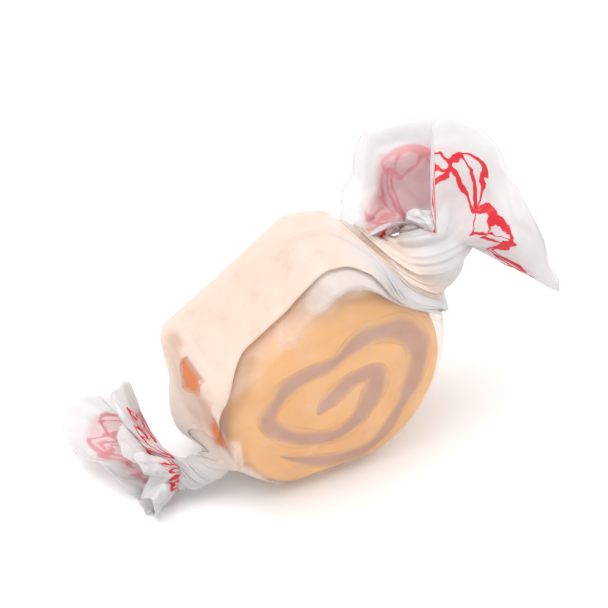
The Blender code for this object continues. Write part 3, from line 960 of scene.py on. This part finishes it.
# %% [markdown]
# ## Waxed paper
#
# Wax fills the paper's pores, so light goes through it where it touches something and
# scatters where there is air behind it. The sheet's own haze sets the alpha: low where it
# clings to the candy, high in the lap, the twists and the fans. Its tint is the candy's
# warm colour showing in the paper. The outer side carries the red ink, and on the inner
# side the same border shows pale through the paper, in a pink that is darkened as painted
# shade for the inside of the fan's mouth. In the shoulder's pocket a deep orange is
# painted shade.

# %% Paper materials
BLOTCH_HAZE, FACET_HAZE = 0.40, 0.16
CLEAR_ALPHA, HAZY_ALPHA, INK_ALPHA, POCKET_SHADE_ALPHA = 0.10, 0.62, 0.97, 0.85


def paper_material(name, ink, ink_weight, soft, shaded_pink):
    """Waxed paper: its colour from blotches, tint, the pocket's painted shade and print, its alpha
    from its haze.

    `soft` blurs the print's edges, and the last argument is how much pink the sheet shows round
    the print: the ink seen through, darkened as painted shade for the inside of the fan's mouth.
    """
    material = bpy.data.materials.new(name)
    material.use_nodes = True
    tree = material.node_tree
    shader = tree.nodes["Principled BSDF"]
    patches = add_node(tree, "Group", node_tree=mottling)
    patches.inputs["Scale"].default_value = 330.0
    row = add_node(tree, "Group", node_tree=border)
    row.inputs["Soft"].default_value = soft
    print_mask = math_node(tree, "MULTIPLY", row.outputs["Mask"], ink_weight)
    haze, tint, shaded_pocket, edge = (
        add_node(tree, "Attribute", attribute_name=key).outputs["Fac"]
        for key in ("haze", "tint", "shaded_pocket", "edge")
    )
    paper_colour = mix_colour(tree, patches.outputs["Blotches"], PAPER_DARK, PAPER_LIGHT)
    paper_colour = mix_colour(tree, tint, paper_colour, PAPER_OVER_CANDY)
    # Near the print row the inside shows the ink as pink, darkened as painted shade for the inside of
    # the fan's mouth.
    if shaded_pink:
        near_print = math_node(tree, "ABSOLUTE", math_node(tree, "SUBTRACT", edge, 6.0))
        seen = map_range(tree, near_print, 2.5, 4.0, shaded_pink, 0.0)
        paper_colour = mix_colour(tree, seen, paper_colour, SHADED_PINK)
    # Painted shade: a deep orange in the pocket and the crease's valley, for the shade under the belt's
    # edge.
    paper_colour = mix_colour(tree, shaded_pocket, paper_colour, POCKET_SHADE_ORANGE)
    tree.links.new(mix_colour(tree, print_mask, paper_colour, ink), shader.inputs["Base Color"])
    creases = add_node(tree, "Group", node_tree=crumple)
    blotches = math_node(tree, "SUBTRACT", patches.outputs["Blotches"], 0.5)
    facet_haze = math_node(tree, "MULTIPLY", creases.outputs["Height"], FACET_HAZE)
    uneven = math_node(tree, "ADD", math_node(tree, "MULTIPLY", blotches, BLOTCH_HAZE), facet_haze)
    hazy = math_node(tree, "ADD", haze, uneven)
    alpha = map_range(tree, hazy, 0.0, 1.0, CLEAR_ALPHA, HAZY_ALPHA)
    # The print and the pocket's painted shade raise the alpha.
    for mask, cover in ((print_mask, INK_ALPHA), (shaded_pocket, POCKET_SHADE_ALPHA)):
        alpha = math_node(tree, "MAXIMUM", alpha, math_node(tree, "MULTIPLY", mask, cover))
    tree.links.new(alpha, shader.inputs["Alpha"])
    rough = map_range(tree, patches.outputs["Grain"], 0.3, 0.7, 0.32, 0.46)
    tree.links.new(rough, shader.inputs["Roughness"])
    relief = add_node(tree, "Bump")
    relief.inputs["Strength"].default_value = 0.6
    relief.inputs["Distance"].default_value = 0.0004
    loose = map_range(tree, edge, 4.0, 22.0, 1.0, 0.15)
    crushed = math_node(tree, "MULTIPLY", creases.outputs["Height"], loose)
    tree.links.new(crushed, relief.inputs["Height"])
    tree.links.new(relief.outputs[0], shader.inputs["Normal"])
    return material


PAPER_DARK, PAPER_LIGHT = (0.75, 0.725, 0.73), (0.81, 0.79, 0.795)
PAPER_OVER_CANDY = (0.89, 0.74, 0.645)
# The pink is the ink seen through the paper, darkened as painted shade; the deep orange is painted
# shade in the shoulder's pocket.
SHADED_PINK, POCKET_SHADE_ORANGE = (0.72, 0.32, 0.34), (0.66, 0.16, 0.02)
RED_INK, PALE_INK = (0.64, 0.010, 0.022), (0.80, 0.28, 0.32)
paper.data.materials.append(paper_material("waxed_paper_outside", RED_INK, 1.0, 0.06, 0.0))
paper.data.materials.append(paper_material("waxed_paper_inside", PALE_INK, 0.45, 0.5, 0.7))

# %% [markdown]
# ## Floor, light and camera
#
# The photograph is bright all over: white floor, white surroundings and soft light from
# above. The camera looks down at 45 degrees from a little to the left of the face, far
# away through a long lens, so near and far edges keep the same scale.

# %% Floor
def make_floor():
    """A square of paper-white floor, 3 m a side, through the point that the candy rests on."""
    half = 1.5
    corners = np.array([[-half, -half, 0], [half, -half, 0], [half, half, 0], [-half, half, 0]])
    floor = make_object("floor", corners, [(0, 1, 2, 3)])
    material = bpy.data.materials.new("white_floor")
    material.use_nodes = True
    shader = material.node_tree.nodes["Principled BSDF"]
    shader.inputs["Base Color"].default_value = (0.95, 0.95, 0.95, 1)
    shader.inputs["Roughness"].default_value = 0.6
    floor.data.materials.append(material)


make_floor()

# %% Light
def softbox(name, place, size, power):
    """A square area light that faces the candy."""
    light = bpy.data.lights.new(name, "AREA")
    light.size = size
    light.energy = power
    lamp = bpy.data.objects.new(name, light)
    lamp.location = place
    aim = -np.array(place) + (0, 0, 0.012)
    pitch = math.acos(-aim[2] / np.linalg.norm(aim))
    lamp.rotation_euler = (pitch, 0, math.atan2(aim[1], aim[0]) - math.pi / 2)
    bpy.context.scene.collection.objects.link(lamp)


softbox("overhead_softbox", (-0.15, 0.10, 0.60), 0.50, 2.6)
softbox("right_softbox", (0.55, -0.10, 0.35), 0.40, 0.8)
softbox("left_softbox", (-0.45, -0.15, 0.08), 0.30, 0.2)
world = bpy.data.worlds.new("white_room")
world.use_nodes = True
world.node_tree.nodes["Background"].inputs["Color"].default_value = (1, 1, 1, 1)
world.node_tree.nodes["Background"].inputs["Strength"].default_value = 0.85
bpy.context.scene.world = world
bpy.context.scene.view_settings.view_transform = "Standard"
bpy.context.scene.cycles.transparent_max_bounces = 24

# %% Camera
AZIMUTH, ELEVATION = math.radians(-27), math.radians(45)
LENS, SENSOR, FRAME_WIDTH = 300.0, 36.0, 0.062
AIM_RIGHT, AIM_UP = -0.0007, 0.0054
right = np.array([math.cos(AZIMUTH), math.sin(AZIMUTH), 0])
back = np.array([
    math.sin(AZIMUTH) * math.cos(ELEVATION),
    -math.cos(AZIMUTH) * math.cos(ELEVATION),
    math.sin(ELEVATION),
])
upward = np.cross(back, right)
aim = np.array([0, 0, CENTRE_HEIGHT]) + AIM_RIGHT * right + AIM_UP * upward
camera = bpy.data.objects.new("camera", bpy.data.cameras.new("camera"))
camera.data.sensor_width = SENSOR
camera.data.lens = LENS
camera.location = aim + back * FRAME_WIDTH * LENS / SENSOR
camera.rotation_euler = (math.pi / 2 - ELEVATION, 0, AZIMUTH)
camera.data.clip_start, camera.data.clip_end = 0.05, 10
bpy.context.scene.collection.objects.link(camera)
bpy.context.scene.camera = camera
